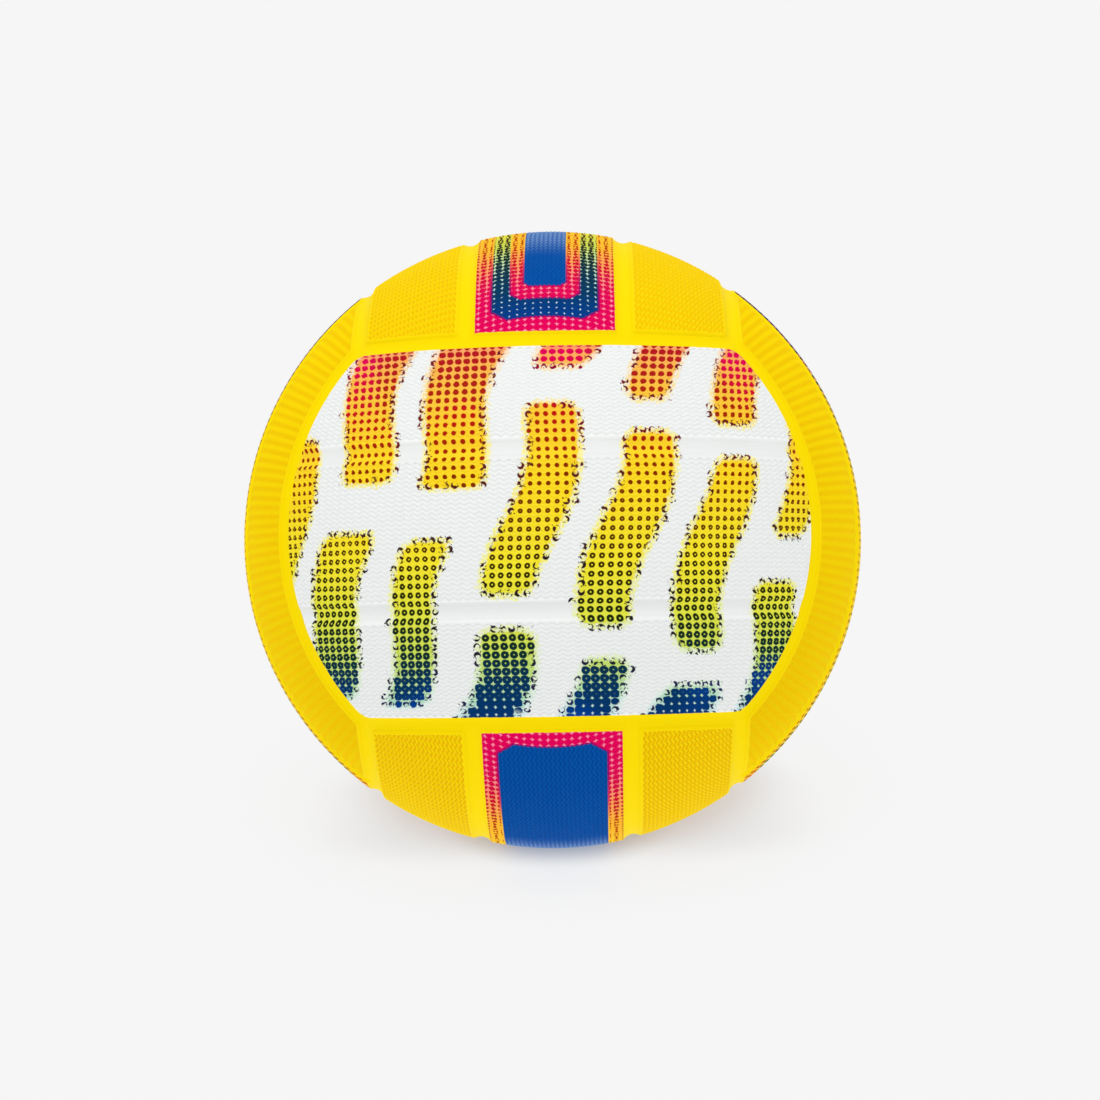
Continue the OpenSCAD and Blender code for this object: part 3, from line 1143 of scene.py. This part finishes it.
def label_material(group, plate_inset, sheen_reach, band_insets, dark_end, border_w):
    """Dotted crimson ground with a slant-cornered navy band and a bare blue plate.

    Where dark_end names an end by its sign, the ground's ink turns dark towards that end and
    stays orange and brown at the other. The ink leaves a plain border along the strip's sides.
    """
    s = Surface(f"{group}_label")
    s.grain()
    along, across, outward = group_axes(group)
    u = s.arc(s.axis(along))
    v = s.arc(s.axis(across))
    from_middle = abs(u) / LABEL_HALF_LENGTH
    redness = from_middle
    if dark_end:
        redness = greater(u * dark_end, u * (-dark_end * LIGHT_END_SHARE)) / LABEL_HALF_LENGTH

    ink = ramp(redness, LABEL_INK_STOPS)
    if dark_end:
        ink = blend(rise(*DARK_REACH, u * dark_end), ink, DARK_INK)
    dots = label_dots(u, v, curve(redness, LABEL_DOT_STOPS))
    colour = blend(dots, ramp(redness, LABEL_GROUND_STOPS), ink)
    outline = ramp(redness, OUTLINE_STOPS)
    layers = []
    if band_insets:
        outer, inner = (cut_frame(u, v, inset) for inset in band_insets)
        band_dots = label_dots(u, v, curve(redness, BAND_DOT_STOPS))
        inked = blend(band_dots, ramp(redness, BAND_GROUND_STOPS), ramp(redness, BAND_INK_STOPS))
        from_band = greater(outer, -inner)
        layers += [(from_band - OUTLINE_W, outline), (from_band, inked)]
    plate = cut_frame(u, v, plate_inset)
    layers += [(plate - OUTLINE_W, outline), (plate, plate_tint(s, from_middle, sheen_reach))]
    for outside, layer in layers:
        colour = blend(within(LINE_BLUR, outside), colour, layer)

    side = abs(v) - (INNER_CREST_LAT * BALL_R - border_w)
    end = END_LAT * BALL_R - s.arc(s.axis(outward))
    on_top = within(LABEL_BLUR, greater(side, end) + fray(s, LABEL_FRAY))
    return s.finish(blend(on_top, YELLOW, colour))


# Inner layers: black rubber nodes, each with its material, colour and roughness, and the thread

DARK_RUBBERS = (
    ("bladder", "bladder_rubber", paint(40, 40, 42), 0.5),
    ("valve_housing", "housing_rubber", paint(46, 46, 48), 0.55),
    ("valve_core", "core_rubber", paint(70, 70, 74), 0.6),
)
DARK_GRAIN = (0.35, 0.25, 0.05)
DARK_PATCH = 3.0
DARK_DEPTH = 0.6
DARK_SPECULAR = 0.4

THREAD_SHADOW = paint(150, 145, 128)
THREAD_CREST = paint(216, 212, 196)
THREAD_DIRECTIONS = ((0.8, 0.3, 0.52), (0.35, -0.8, 0.49))
THREAD_RATE = 9.0
THREAD_BLUR = 0.9
THREAD_ROUGHNESS = 0.7
THREAD_SPECULAR = 0.3


def dark_rubber_material(name, colour, roughness):
    """Black rubber with darker patches and a fine grain."""
    s = Surface(name)
    s.grain(*DARK_GRAIN)
    patches = noise(s.place, DARK_PATCH)
    deep = tuple(channel * DARK_DEPTH for channel in colour[:3]) + (1.0,)
    return s.finish(blend(patches, colour, deep), roughness, DARK_SPECULAR)


def thread_material():
    """Off-white nylon thread, wound in crossing directions."""
    s = Surface("wound_thread")
    first, second = (
        combine("SINE", (s.x * a + s.y * b + s.z * c) * THREAD_RATE) for a, b, c in THREAD_DIRECTIONS
    )
    weave = rise_about_zero(THREAD_BLUR, greater(first, second))
    return s.finish(blend(weave, THREAD_SHADOW, THREAD_CREST), THREAD_ROUGHNESS, THREAD_SPECULAR)


# Pieces and their finishes

# Each label's plate inset, the reach of the painted sheen on the plate's middle, the band's two
# insets, the sign of the dark end and the width of the plain border. None and 0 are for labels
# without.
LABEL_LAYOUTS = {
    "top": (25.0, 0.37, (8.5, 17.5), 0, 0.0),
    "bottom": (8.0, 0.15, None, 0, 0.0),
    "left": (25.0, None, (8.5, 17.5), 1, 0.8),
    "right": (25.0, None, (8.5, 17.5), -1, 0.8),
}


def dress_panels():
    yellow = yellow_material()
    field = field_material()
    for group in GROUPS:
        for number in range(3):
            piece = add_panel(group, number)
            if group in WHITE_GROUPS:
                piece.data.materials.append(field)
            elif number == 1:
                piece.data.materials.append(label_material(group, *LABEL_LAYOUTS[group]))
            else:
                piece.data.materials.append(yellow)


def dress_inner_layers():
    """Gives the CAD nodes that stay finishes of their own."""
    finishes = {node: dark_rubber_material(*look) for node, *look in DARK_RUBBERS}
    finishes["winding"] = thread_material()
    for node, finish in finishes.items():
        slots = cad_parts[node].data.materials
        slots.clear()
        slots.append(finish)


add_base().data.materials.append(base_material())
dress_panels()
dress_inner_layers()


# Studio: pale floor, even light and a broad soft lamp
#
# The photographed ball has rolled: its own upright leans away from the camera, so the floor
# is seen from higher up than the ball is. The floor's normal leans to the camera by as much.

FLOOR_LEAN = math.radians(21)
FLOOR_UP = Vector((0, -math.sin(FLOOR_LEAN), math.cos(FLOOR_LEAN)))
FLOOR_R = 1500.0
FLOOR_SIDES = 96

# The floor reflects light, and so takes shade, only round the ball: fully in a core, and a
# small share of it in a wide ring. It is tinted against the yellow light that the ball sends down.
FLOOR_REFLECTANCE = (0.49, 0.45, 0.33)
SHADE_CENTRE = (2.0, 45.0)
CORE_SHADE = (60.0, 86.0)
WIDE_SHADE = (85.0, 140.0)
WIDE_SHADE_SHARE = 0.17
SHADE_STRETCH = 0.96

# Painted shade on top of that: a soft, boxy oval round the foot, and a disc at the contact
FOOT_SHADE_CENTRE = (2.0, 10.0)
FOOT_SHADE_HALF = (84.0, 42.0)
FOOT_SHADE_EDGE = (0.62, 1.25)
FOOT_SHADE_SHARE = 0.16
CONTACT_SHADE = (24.0, 46.0)
CONTACT_SHARE = 0.24

BACKDROP = paint(246, 246, 246)
FLOOR_ON_BALL = (1.07, 1.07, 1.07, 1.0)
SKY = 0.77
LAMP_SHARE = 0.31
LAMP_SPREAD = math.radians(60)
LAMP_FROM = Vector((-0.04, -0.50, 0.86)).normalized()


def add_world():
    """Even light from all sides, in front of a backdrop that the camera sees a little brighter."""
    world = bpy.data.worlds.new("studio")
    world.use_nodes = True
    tree = world.node_tree
    tree.nodes.remove(tree.nodes["Background"])
    light = add_node(tree, "Background", {"Color": (1, 1, 1, 1), "Strength": SKY})
    backdrop = add_node(tree, "Background", {"Color": BACKDROP})
    seen = {0: add_node(tree, "LightPath", {}, "Is Camera Ray"), 1: light, 2: backdrop}
    add_node(tree, "MixShader", seen).feed(tree.nodes["World Output"].inputs["Surface"])
    bpy.context.scene.world = world


def add_lamp():
    """The soft lamp, high up and in front of the ball."""
    data = bpy.data.lights.new("soft_lamp", "SUN")
    data.energy = LAMP_SHARE * math.pi
    data.angle = LAMP_SPREAD
    lamp = add_object("soft_lamp", data)
    lamp.rotation_euler = LAMP_FROM.to_track_quat("Z", "Y").to_euler()


def foot_shade(s):
    """Share of the floor's glow that is missing round the ball's foot, and more at its contact."""
    across = (s.x - FOOT_SHADE_CENTRE[0]) / FOOT_SHADE_HALF[0]
    along = (s.y - FOOT_SHADE_CENTRE[1]) / FOOT_SHADE_HALF[1]
    outward = combine("SQRT", hypot(across * across, along * along))
    foot = 1 - rise(*FOOT_SHADE_EDGE, outward)
    contact = 1 - rise(*CONTACT_SHADE, hypot(s.x, s.y))
    return foot * FOOT_SHADE_SHARE + contact * CONTACT_SHARE


def floor_material():
    """Pale floor that glows where it reflects less, so unshaded it is as bright as the backdrop.

    Its open part lights the ball a little more than the camera, and from below it is clear.
    """
    s = Surface("pale_floor")
    tree = s.tree
    for_camera = add_node(tree, "LightPath", {}, "Is Camera Ray")
    open_floor = blend(for_camera, FLOOR_ON_BALL, BACKDROP)
    from_centre = hypot((s.x - SHADE_CENTRE[0]) * SHADE_STRETCH, s.y - SHADE_CENTRE[1])
    core = 1 - rise(*CORE_SHADE, from_centre)
    shade = blend_number(WIDE_SHADE_SHARE, core, 1 - rise(*WIDE_SHADE, from_centre))
    unshaded = SKY + LAMP_SHARE * LAMP_FROM.dot(FLOOR_UP)
    glow_by_ball = [BACKDROP[0] - share * unshaded for share in FLOOR_REFLECTANCE]

    tree.nodes.remove(s.shader)
    reflected = blend(shade, (0, 0, 0, 1), (*FLOOR_REFLECTANCE, 1))
    given_off = blend(shade, open_floor, (*glow_by_ball, 1))
    diffuse = add_node(tree, "BsdfDiffuse", {"Color": reflected})
    glow = add_node(tree, "Emission", {"Color": given_off, "Strength": 1 - foot_shade(s)})
    both = add_node(tree, "AddShader", {0: diffuse, 1: glow})
    from_below = add_node(tree, "NewGeometry", {}, "Backfacing")
    one_sided = {0: from_below, 1: both, 2: add_node(tree, "BsdfTransparent", {})}
    add_node(tree, "MixShader", one_sided).feed(tree.nodes["Material Output"].inputs["Surface"])
    return s.material


def add_floor():
    """A wide disc that touches the ball where the floor's normal points away from it."""
    turns = np.arange(FLOOR_SIDES) / FLOOR_SIDES * 2 * math.pi
    rim = np.stack([np.cos(turns), np.sin(turns), np.zeros(FLOOR_SIDES)], axis=-1) * FLOOR_R
    wedges = [(FLOOR_SIDES, k, (k + 1) % FLOOR_SIDES) for k in range(FLOOR_SIDES)]
    floor = make_piece("floor", np.concatenate([rim, np.zeros((1, 3))]), [], wedges)
    floor.rotation_euler = (FLOOR_LEAN, 0, 0)
    floor.location = FLOOR_UP * -BALL_R * MM
    floor.data.materials.append(floor_material())
    floor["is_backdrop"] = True


add_world()
add_lamp()
add_floor()
bpy.context.scene.view_settings.view_transform = "Standard"

visual_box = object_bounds()
({
    "cad": [list(corner) for corner in cad_box],
    "visual": [list(corner) for corner in visual_box],
})
